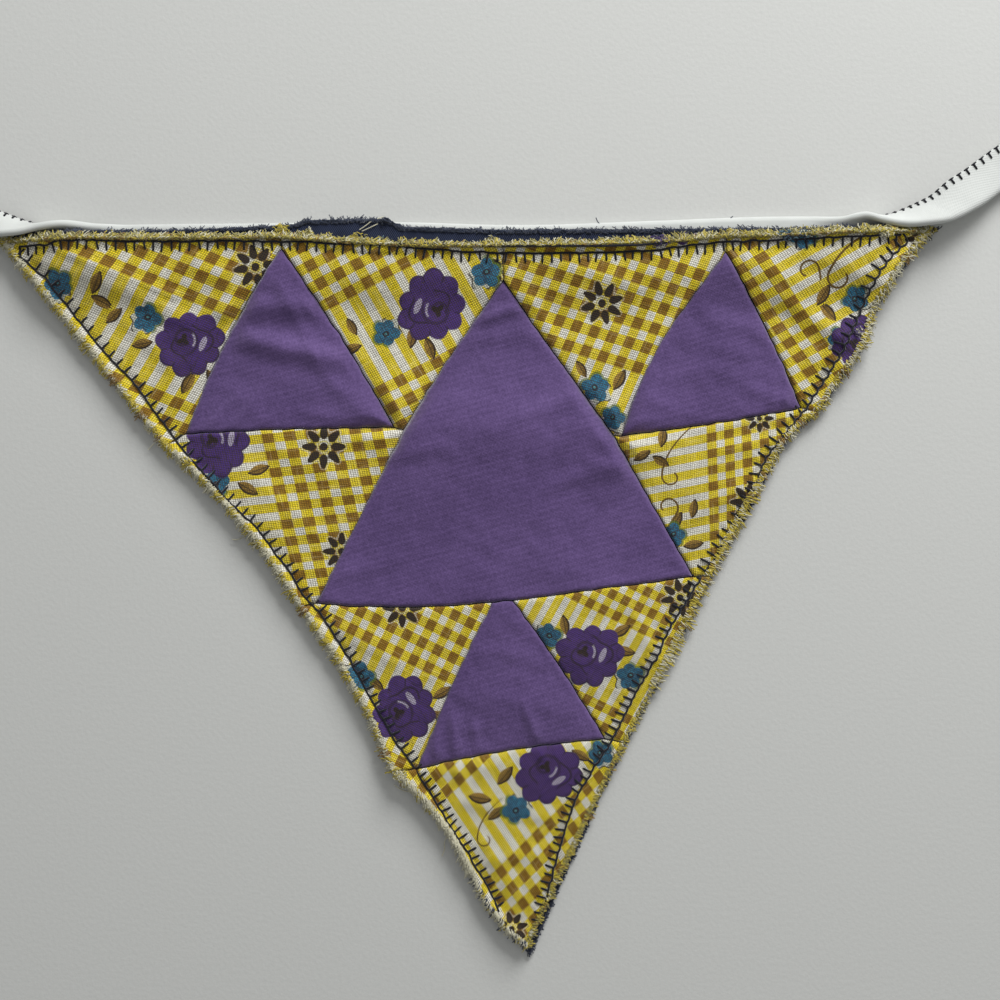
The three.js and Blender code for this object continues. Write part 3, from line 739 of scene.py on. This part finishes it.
def lay_print(skin, patch):
    """Writes where each place of a patch lies in the print, and in the motifs near it."""
    uv = skin.loops.layers.uv.new("print")
    raw = skin.verts.layers.float.new("raw")
    for vertex in skin.verts:
        vertex[raw] = min(raw_far, raw_tree.find((vertex.co.x / mm, vertex.co.y / mm, 0))[2])
    for kind in motif_kinds:
        skin.loops.layers.float_vector.new(kind)
    for face in skin.faces:
        middle = face.calc_center_median() / mm
        for loop in face.loops:
            loop[uv].uv = in_print(patch, loop.vert.co.x / mm, loop.vert.co.y / mm)
        for kind, by_patch in motif_kinds.items():
            layer = skin.loops.layers.float_vector[kind]
            motifs = by_patch.get(patch, [])
            near = min(motifs, default=None, key=lambda one: (
                math.hypot(middle.x - one[0], middle.y - one[1]) / one[2]))
            for loop in face.loops:
                loop[layer] = nowhere
                if near:
                    x, y = loop.vert.co.x / mm - near[0], loop.vert.co.y / mm - near[1]
                    angle = math.radians(-near[3])
                    loop[layer] = Vector((
                        (x * math.cos(angle) - y * math.sin(angle)) / near[2],
                        (x * math.sin(angle) + y * math.cos(angle)) / near[2],
                        (near[0] * 0.37) % 1.0))


print_material, start = new_material("checked print", 0.82, 0.25)
print_uv = start.node("ShaderNodeUVMap", {"uv_map": "print"}, {})
across_print, along_print, _ = print_uv.parts()
across_print = across_print + (start.noise(print_uv, 7.0, 2.0) - 0.5) * 0.07
along_print = along_print + (start.noise(print_uv, 6.3, 2.0) - 0.5) * 0.07
gaps, yarns = woven(start, across_print * threads_in_check, along_print * threads_in_check)


def stripes(value):
    """1 in the rather wider half of each period that is nearest to a whole number."""
    return (value * (2 * math.pi) + math.pi / 2).sine().fade(-0.34, 0.04)


repeats = (along_print + 0.5) / print_repeat
in_repeat = repeats.maths("FRACT", repeats) * print_repeat
in_band = in_repeat.fade(check_rows + 0.03, check_rows - 0.03)
yellow_warp = stripes(across_print)
yellow_weft = stripes(along_print) * in_band
uneven = start.noise(print_uv, 3.0, 3.0, 0.7)
yellow_mask = (yellow_warp.most(yellow_weft) * (0.8 + 0.35 * uneven)).least(1.0)
brown_mask = (yellow_warp * yellow_weft * (0.75 + 0.4 * uneven)).least(1.0)
light_yarn = ((yarns - 0.52) * 2.2).fade(0.0, 1.0) * 0.3
# The colours laid on the white cloth, from the lowest to the uppermost: the print, then the raw
# edges' yarn and painted shade in the weave's gaps; where each lies, and the colour
colour_layers = [(yellow_mask, dye(240, 216, 26)), (brown_mask, dye(140, 98, 18)),
           (light_yarn, dye(244, 240, 200))]


def polar(x, y):
    """The distance and the angle of a place from 0, 0."""
    return (x * x + y * y) ** 0.5, y.maths("ARCTAN2", y, x)


def motif(kind):
    """The x, y, distance from the middle, angle and number of the nearest motif of a kind."""
    x, y, number = start.node("ShaderNodeAttribute", {"attribute_name": kind}, {}, 1).parts()
    return (x, y, *polar(x, y), number)


def spot(x, y, at_x, at_y, wide, high):
    """A soft-edged oval mask."""
    return (((x - at_x) / wide) ** 2 + ((y - at_y) / high) ** 2).fade(1.15, 0.85)


ink = dye(34, 24, 34)
leaf_x, leaf_y, _, _, _ = motif("leaf")
leaf_edge = (1 - leaf_x * leaf_x) * 0.44
leaf_mask = (abs(leaf_y) - leaf_edge).fade(0.04, -0.04) * abs(leaf_x).fade(1.0, 0.96)
leaf_vein = leaf_y.within(0.045, 0.03) * leaf_x.fade(0.75, 0.65)
leaf_ribs = (leaf_x * 14 + abs(leaf_y) * 16).sine().fade(0.55, 0.95)
leaf_side = (leaf_y + leaf_edge).within(0.15, 0.04)
leaf_tip = leaf_x.fade(0.62, 0.8)
leaf_tone = (leaf_y * 1.2 + 0.5 + (uneven - 0.5)).mix(dye(106, 78, 24), dye(176, 140, 66))
leaf_ink = leaf_side.most(leaf_vein * 0.8).most(leaf_ribs * 0.35).most(leaf_tip * 0.8)
colour_layers += [(leaf_mask, leaf_tone), (leaf_mask * leaf_ink, ink)]

scroll_x, scroll_y, scroll_r, scroll_angle, _ = motif("scroll")
scroll_arm = scroll_r - 1.0 + (scroll_angle + math.pi) * 0.12
scroll_curl = scroll_arm.within(0.09, 0.04) * scroll_angle.fade(1.0, 0.9)
scroll_stem = (scroll_x + 1.0 - scroll_y * scroll_y * 0.11).within(0.10, 0.04)
scroll_stem = scroll_stem * scroll_y.fade(-0.02, 0.02) * scroll_y.fade(5.6, 5.5)
colour_layers += [(scroll_curl.most(scroll_stem), dye(112, 84, 34))]

_, _, daisy_r, daisy_angle, _ = motif("daisy")
petal_edge = daisy_r * abs((daisy_angle * 4).sine()) * 0.25
petal_shape = ((daisy_r - 0.66) / 0.33) ** 2 + (petal_edge / 0.145) ** 2
daisy_mask = petal_shape.fade(1.15, 0.85)
daisy_rim = (petal_shape - 1.5).within(0.3, 0.2) * daisy_r.fade(1.08, 1.0)
daisy_heart = daisy_r.fade(0.2, 0.16)
daisy_ring = (daisy_r - 0.25).within(0.03, 0.02)
colour_layers += [(daisy_rim * 0.6, dye(226, 222, 205)),
            (daisy_mask.most(daisy_heart), dye(30, 24, 34)), (daisy_ring, dye(214, 204, 120))]

sprig_x, sprig_y, sprig_r, sprig_angle, sprig_number = motif("sprig")
sprig_rim = (0.68 + abs((sprig_angle * 2.5 + sprig_number * 3).sine()) * 0.26
             + (sprig_angle * 3 + sprig_number * 20).sine() * 0.05)
sprig_mask = (sprig_r - sprig_rim).fade(0.04, -0.04)
pale_r, _ = polar(sprig_x + 0.36, sprig_y + 0.16)
pale_rim = 0.70 + (sprig_angle * 7 + 1.0).sine() * 0.13
pale_mask = (pale_r - pale_rim).fade(0.03, -0.03)
pale_line = (pale_r - pale_rim).within(0.05, 0.03) * (sprig_angle * 4 + 1.0).sine().fade(-0.5, 0.0)
sprig_fringe = (sprig_r - sprig_rim - 0.06).within(0.11, 0.05) * sprig_x.fade(-0.1, 0.3)
sprig_scribble = (start.noise(print_uv, 5.5, 2.0) - 0.5).within(0.03, 0.02)
sprig_petals = (sprig_angle * 2.5 + sprig_number * 3).sine().within(0.16, 0.08)
sprig_petals = sprig_petals * sprig_r.fade(0.2, 0.3)
sprig_ink = sprig_mask * (sprig_petals * 0.7).most(sprig_scribble * 0.75)
teal = (uneven * 1.4 - 0.2).mix(dye(16, 80, 122), dye(44, 140, 172))
colour_layers += [
    (pale_mask, dye(210, 214, 200)), (pale_line * 0.9, ink), (sprig_fringe * 0.8, dye(92, 124, 44)),
    (sprig_mask, teal), (sprig_ink, dye(12, 40, 74)),
    (spot(sprig_x, sprig_y, 0.05, 0.05, 0.24, 0.2), dye(14, 34, 60)),
    (spot(sprig_x, sprig_y, 0.07, 0.07, 0.1, 0.08), dye(70, 140, 150)),
]

flower_x, flower_y, flower_r, flower_angle, flower_number = motif("flower")
flower_turn = flower_number * 6.0
flower_rim = (0.77 + abs((flower_angle * 4.5 + flower_turn).sine()) * 0.15
              + (flower_angle * 2 + flower_turn).sine() * 0.05 + (flower_angle * 3).sine() * 0.04)
flower_mask = (flower_r - flower_rim).fade(0.02, -0.02)
flower_line = (flower_r - flower_rim + 0.02).within(0.04, 0.02)
flower_line = flower_line * (flower_angle + 2.2 + flower_turn).sine().fade(-0.6, 0.2)
inner_rim = 0.50 + (flower_angle * 4 + flower_turn).sine() * 0.07 + flower_x * 0.12
inner_line = (flower_r - inner_rim).within(0.03, 0.015)
inner_line = inner_line * (flower_angle * 2 + 0.6).sine().fade(-0.6, -0.1)
eye_r, eye_angle = polar(flower_x + 0.16, flower_y - 0.10)
eye = (eye_r + (eye_angle * 3 + flower_turn).sine() * 0.05).fade(0.16, 0.10)
swirl = (eye_angle + eye_r * 20 + flower_turn).sine().fade(0.45, 0.8) * eye_r.fade(0.46, 0.40)
petal_gap = (flower_angle * 4.5 + flower_turn).sine().within(0.13, 0.07)
petal_gap = petal_gap * flower_r.fade(0.58, 0.68)
petal_fold = (flower_r * 22 + (flower_angle * 5 + flower_turn).sine() * 4).sine().fade(0.8, 1.0)
petal_fold = petal_fold * (flower_angle * 4 + flower_turn).sine().fade(0.1, 0.6)
flower_tone = (uneven * 1.1 + flower_y * 0.15 - 0.05).mix(dye(54, 31, 102), dye(82, 52, 136))
flower_ink = (flower_line * 0.6).most(inner_line).most(petal_gap).most(petal_fold * 0.6)
flower_ink = flower_ink.most(swirl * 0.8)
dabs = spot(flower_x - flower_y * 0.35, flower_y, 0.36, 0.0, 0.09, 0.20).most(
    (eye_r - 0.30).within(0.03, 0.02) * abs(eye_angle).fade(0.7, 0.5))
colour_layers += [(flower_mask, flower_tone), (flower_mask * flower_ink * 0.9, dye(36, 20, 68)),
            (eye, dye(20, 14, 40)), (dabs * 0.85, dye(190, 182, 204))]

fuzz = start.noise(print_uv, 16.0, 2.0, 0.7)
raw = start.node("ShaderNodeAttribute", {"attribute_name": "raw"}, {}, 2)
raw_streaks = start.noise(print_uv, 9.0, 2.0, 0.6)
raw_colour = raw_streaks.fade(0.35, 0.65).mix(dye(120, 106, 46), dye(226, 218, 172))
# Painted shade: the weave's gaps and crossings are darkened, together with darker yarns and specks
# that vary at random
shade = (gaps * gaps * 0.85 + (0.55 - yarns) * 0.6 + (0.5 - fuzz) * 0.9).most(0.0).least(0.8)
colour_layers += [((raw + uneven).fade(2.0, 1.0) * 0.8, raw_colour), (shade, dye(66, 52, 12))]
print_colour = dye(242, 240, 228)
for mask, colour in colour_layers:
    print_colour = mask.mix(print_colour, colour)
finish_material(start, print_colour, yarns + fuzz * 0.6 - gaps * 0.5, print_relief)

for order, patch in enumerate(print_lay):
    skin = top_skin("print_" + patch, patch_cuts)
    press(skin, first_print_seed + order * seed_step, 1)
    lay_print(skin, patch)
    front_skins.append(skin.copy())
    cloth_piece(patch + "_print", skin, print_material, "print_" + patch,
                cloth_thickness)


# The stitches. Black cotton thread joins front, backing and tape in a blanket stitch round
# the three sides of the flag, and closes the tape's open edge with a smaller one.
thread_radius = 0.3
thread_relief = 0.0001
tape_pitch = 2.6
tape_edge_step = 1.25
floor_height = 0.8
# How far above the cloth a prong's thread runs, from the stitch line to where it dives in
prong_rises = (0.16, 0.22, 0.22, 0.12, -0.55)
second_line = [
    (-28, 70.6), (-19.2, 70.4), (-8.2, 70.2), (0, 69.9), (8.2, 69.9), (27.4, 69.9), (38.4, 70.2),
    (46, 70.8),
]
second_rise = 0.7

surface = bmesh.new()
for skin in front_skins:
    part = bpy.data.meshes.new("part")
    skin.to_mesh(part)
    skin.free()
    surface.from_mesh(part)
    bpy.data.meshes.remove(part)
front_top = BVHTree.FromBMesh(surface)
surface.free()


def cloth_height(x, y):
    """The height of the cloth's upper side at a place in millimetres, in millimetres."""
    above = Vector((x * mm, y * mm, 0.1))
    for tree in (front_top, backing_top):
        hit = tree.ray_cast(above, Vector((0, 0, -1)))[0]
        if hit:
            return hit.z / mm
    return floor_height


def thread_curve(name, radius, resolution=1):
    """An empty thread: a curve with a round section."""
    curve = bpy.data.curves.new(name, "CURVE")
    curve.dimensions = "3D"
    curve.bevel_depth = radius * mm
    curve.bevel_resolution = resolution
    curve.resolution_u = 3
    curve.use_fill_caps = True
    return curve


def add_thread(curve, points, kind="POLY"):
    """Adds one thread through points in millimetres."""
    spline = curve.splines.new(kind)
    spline.points.add(len(points) - 1)
    for knot, (x, y, z) in zip(spline.points, points):
        knot.co = (x * mm, y * mm, z * mm, 1)
    if kind == "NURBS":
        spline.order_u = 3
        spline.use_endpoint_u = True


def thread_object(curve, material):
    """Puts a finished thread curve in place, as a piece of the flag."""
    curve.materials.append(material)
    thread = new_object(curve.name, curve)
    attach(thread, "root")


def new_thread_material(name, dark, light, sheen=0.3):
    """A thread's material, which varies between two dyes."""
    material, value = new_material(name, 0.85, sheen)
    place = value.place()
    twist = value.noise(place, 2600.0, 2.0, 0.7)
    drift = value.noise(place, 160.0, 2.0)
    colour = (twist * 0.6 + drift * 0.6 - 0.1).mix(dye(*dark), dye(*light))
    finish_material(value, colour, twist, thread_relief)
    return material


stitches = thread_curve("blanket_stitch", thread_radius)
for stitch_row in stitch_rows:
    spine = []
    for place, prong, loop in stitch_row:
        prong_points = []
        for step, rise in enumerate(prong_rises):
            part = place + prong * (step / 4)
            prong_points.append((part.x, part.y, cloth_height(part.x, part.y) + rise))
        add_thread(stitches, prong_points)
        for part, rise in ((place, 0.24), (loop, 0.16)):
            spine.append((part.x, part.y, cloth_height(part.x, part.y) + rise))
    add_thread(stitches, spine, "NURBS")
over = tape_half_height + tape_cloth / 2 + 0.12
for x, x_end in ((-186.0, -131.0), (106.0, 186.0)):
    spine = []
    while x < x_end:
        side = -1 if abs(tape_value(open_column, x)) > 90 else 1
        prong = tape_point(x, [
            (0.35, over * side), (1.1, over * side), (1.8, over * side), (2.1, 0.3 * side)])
        add_thread(stitches, [tuple(part / mm) for part in prong])
        edge_way = tape_point(x + tape_edge_step, [(0.15, 0.55 * side)])[0]
        spine += [tuple(prong[0] / mm), tuple(edge_way / mm)]
        x += tape_pitch * math.cos(math.radians(tape_value(heading_column, x)))
    add_thread(stitches, spine, "NURBS")
add_thread(stitches, [(place.x, place.y, cloth_height(place.x, place.y) + second_rise)
                      for place, _ in walk(second_line, 2.0, 2.0)], "NURBS")
stitch_material = new_thread_material("black thread", (10, 10, 16), (30, 30, 40))
thread_object(stitches, stitch_material)


# The raw edges. The cloths are left unhemmed outside the stitches, so their threads have come
# loose: curly at the left corner, combed flat towards the tip, short and tangled on the right,
# and a fluffy roll at the top.
fray_radius = 0.14
fray_droop = 1.3
fray_random = random.Random(5)
fray_colours = {
    "yellow": ((128, 112, 24), (226, 208, 80)), "cream": ((150, 146, 112), (236, 232, 210)),
    "olive": ((98, 92, 50), (176, 168, 100)), "brown": ((104, 80, 34), (160, 126, 60)),
    "navy": ((14, 20, 36), (50, 60, 84)), "violet": ((40, 28, 66), (104, 86, 140)),
    "teal": ((26, 54, 74), (104, 136, 148)),
}
frays = {name: thread_curve("fray_" + name, fray_radius, 0) for name in fray_colours}
backing_top_edge = [
    (-137.6, 74.1), (-111.1, 74.4), (-84.5, 75.1), (-58, 76.2), (-54, 77.6), (-31, 78),
    (-27.5, 75.8), (0, 74.9), (121.8, 75.6),
]
backing_right_edge = [
    (121.8, 75.6), (112.8, 66), (105.8, 55.1), *right_raw[3:7], (76.8, 11), (67.8, -6),
    *right_raw[9:13], (25.9, -87.2), (17, -107), (8.4, -126.9),
]


def patch_at(x, y):
    """The printed patch that a raw edge at this place belongs to."""
    if y > 70:
        names = ("left_corner", "top_left", "top_right", "right_corner")
        return names[(x > -60.5) + (x > 0.8) + (x > 62.4)]
    if x < -0.3 * (y + 100):
        names = ("tip", "low_left", "left_side", "left_corner")
        return names[(y > -75.4) + (y > -29.8) + (y > 14.8)]
    names = ("tip", "low_right", "right_side", "right_corner")
    return names[(y > -67.5) + (y > -21.3) + (y > 24.3)]


def yarn_at(x, y):
    """The colour of the print's yarn at a place on a raw edge."""
    u, v = in_print(patch_at(x, y), x, y)
    warp_yellow = abs(u - round(u)) < 0.25
    weft_yellow = abs(v - round(v)) < 0.25 and (v + 0.5) % print_repeat < check_rows
    if warp_yellow and weft_yellow:
        return "brown"
    return "yellow" if warp_yellow or weft_yellow else "cream"


# Each fringe: its line, the side that is outside (left of the way is 1), strands for each
# millimetre, how far inside the line they start and outside it they end, how high they
# stand, how much they curl, lean along the line and slant, the width of a tuft, and the
# strands' colours
fringes = [
    (left_raw[:9], -1, 17, 1.9, 0.6, 0.9, 0.7, 0, 0.6, 1.3, "print print print cream"),
    (left_raw[8:12], -1, 26, 2.2, 0.3, 1.2, 0.1, 0.9, 0.12, 0.9, "cream cream cream print"),
    (left_raw[11:], -1, 20, 1.8, 0.4, 0.9, 0.3, 0.5, 0.3, 0.9, "cream cream print navy"),
    (right_raw[:4], 1, 14, 2, 0.7, 0.9, 0.7, 0, 0.7, 1.5, "print yellow cream cream"),
    (right_raw[3:8], 1, 12, 2, 0.2, 0.7, 0.6, 0, 0.6, 1.2, "print print yellow cream"),
    (right_raw[7:12], 1, 15, 2.2, 0.6, 0.6, 0.3, 0, 0.35, 1, "print yellow yellow cream"),
    (right_raw[11:], 1, 12, 1.6, 0.3, 0.4, 0.4, 0, 0.5, 1, "print yellow olive"),
    (top_raw, 1, 17, 1, 1.2, 1.1, 1.1, 0, 2.4, 1.8, "print yellow olive olive olive brown"),
    (top_raw, 1, 11, 0.8, 1.5, 1.5, 1.1, 0, 1, 1.6, "yellow olive olive cream"),
    (backing_top_edge, 1, 8, 1.3, 0.5, 0.35, 0.8, 0, 1.4, 1.6, "navy"),
    (backing_right_edge, 1, 8, 0.9, 0.3, 0.3, 0.6, 0, 0.9, 1.4, "navy"),
]
# Tufts that stand out of the fringes: the middle, the spread, the strands and their colours
tufts = [
    (-137.6, 71.6, 1.9, 120, "yellow olive cream"), (-60.4, 75, 1.8, 130, "yellow yellow olive"),
    (-53.5, 73.6, 2.4, 110, "yellow cream olive"), (-31.6, 77.4, 1.3, 70, "navy"),
    (-101, 73.2, 2.4, 110, "navy olive cream"), (-33, 71.8, 2, 70, "navy olive teal"),
    (-40, 72.4, 2.4, 70, "yellow olive"), (-2, 71.2, 2.4, 90, "cream olive olive"),
    (44, 71.4, 2.4, 130, "navy violet violet"), (50, 72, 2.4, 150, "navy violet violet"),
    (54.5, 72.8, 1.8, 70, "violet navy cream"), (64.2, 74.2, 1.7, 80, "cream yellow"),
    (28, 71.2, 2.2, 60, "cream navy"), (79, 73.2, 2.3, 110, "teal teal navy"),
    (84.5, 73.5, 2.1, 90, "teal navy cream"), (92.7, 74.4, 2, 80, "yellow cream"),
    (106, 73.6, 2.2, 90, "yellow cream"), (119.4, 74.8, 1.6, 80, "yellow olive navy"),
    (99.5, 46.5, 1.7, 80, "violet violet cream"),
    (-27.4, -76.2, 1.9, 200, "yellow cream cream olive"),
    (-28.6, -74.8, 1.3, 80, "yellow yellow olive"), (-87, 11, 1.5, 50, "cream yellow"),
]
# Single threads that hang loose, seen from above
loose_threads = [
    ("cream", [(-29.6, -79.4), (-28, -80.8), (-25.4, -81.5), (-22.8, -80.9)]),
    ("cream", [(-14.6, -93), (-15.7, -95.4), (-15.3, -97.6), (-16.2, -99.4)]),
    ("cream", [(-38.9, 74.8), (-37, 76), (-35.3, 77.6), (-32.5, 79)]),
    ("cream", [(-38.2, 74.4), (-36, 75.4), (-34, 76.4), (-31.5, 78.4)]),
    ("cream", [(55.6, 75), (56.6, 76.6), (57.4, 77.4), (58.6, 77.6)]),
    ("navy", [(63, 75.4), (64, 77), (63.8, 78.4), (65, 79.2)]),
    ("navy", [(29, 75.4), (28.4, 76.6), (27, 77.8), (26.8, 78.8)]),
    ("cream", [(-94.5, 17), (-97, 15.4), (-98.2, 14)]),
    ("cream", [(-71, -10), (-73, -11.4), (-74.8, -11)]),
]
for line, side, density, inside, outside, stand, curl, lean, slant, tuft, colours in fringes:
    colours = colours.split()
    for place, way in walk(line, 1 / density, 1 / density):
        out = Vector((-way.y, way.x)) * side
        name = fray_random.choice(colours)
        if name == "print":
            name = yarn_at(place.x - out.x, place.y - out.y)
        clump = noise.noise_vector(Vector((place.x / tuft, place.y / tuft, 4.4)))
        start_at = place - out * fray_random.uniform(0.2, 1.0) * inside
        reach = (inside + outside) * fray_random.uniform(0.35, 0.85) * (1 + clump.z * 0.7)
        heading = out + way * (lean + clump.x * 2.2 * slant + fray_random.gauss(0, slant * 0.35))
        heading.normalize()
        swing = fray_random.uniform(0, 2 * math.pi)
        top = fray_random.uniform(0.2, 1.0) * stand
        start_height = cloth_height(start_at.x, start_at.y)
        points = []
        for step in range(4):
            t = step / 3
            bend = way * (math.sin(t * 4 + swing) - math.sin(swing)) * 0.4 * curl
            part = start_at + heading * (reach * t) + bend
            below = max(cloth_height(part.x, part.y), start_height - fray_droop * t)
            lift = 0.12 + top * math.sin(math.pi * (0.15 + 0.7 * t))
            points.append((part.x, part.y, below + lift))
        add_thread(frays[name], points)
for x, y, spread, count, colours in tufts:
    colours = colours.split()
    base = cloth_height(x, y)
    for _ in range(count):
        name = fray_random.choice(colours)
        angle = fray_random.uniform(0, 2 * math.pi)
        turn = fray_random.uniform(-2.5, 2.5)
        offset = Vector((fray_random.gauss(0, 0.4), fray_random.gauss(0, 0.25)))
        root = Vector((x, y)) + offset * spread
        top = fray_random.uniform(0.2, 1.0)
        points = []
        for step in range(5):
            t = step / 4
            swirl = Vector((math.cos(angle + turn * t), math.sin(angle + turn * t) * 0.7))
            part = root + swirl * (spread * 0.6 * (t - 0.3))
            height = base + 0.15 + top * math.sin(math.pi * (0.1 + 0.8 * t))
            points.append((part.x, part.y, height))
        add_thread(frays[name], points)
for name, line in loose_threads:
    add_thread(frays[name], [(x, y, cloth_height(x, y) + 0.5) for x, y in line], "NURBS")
for name, (dark, light) in fray_colours.items():
    material = new_thread_material(name + " yarn", dark, light, 0.4)
    thread_object(frays[name], material)
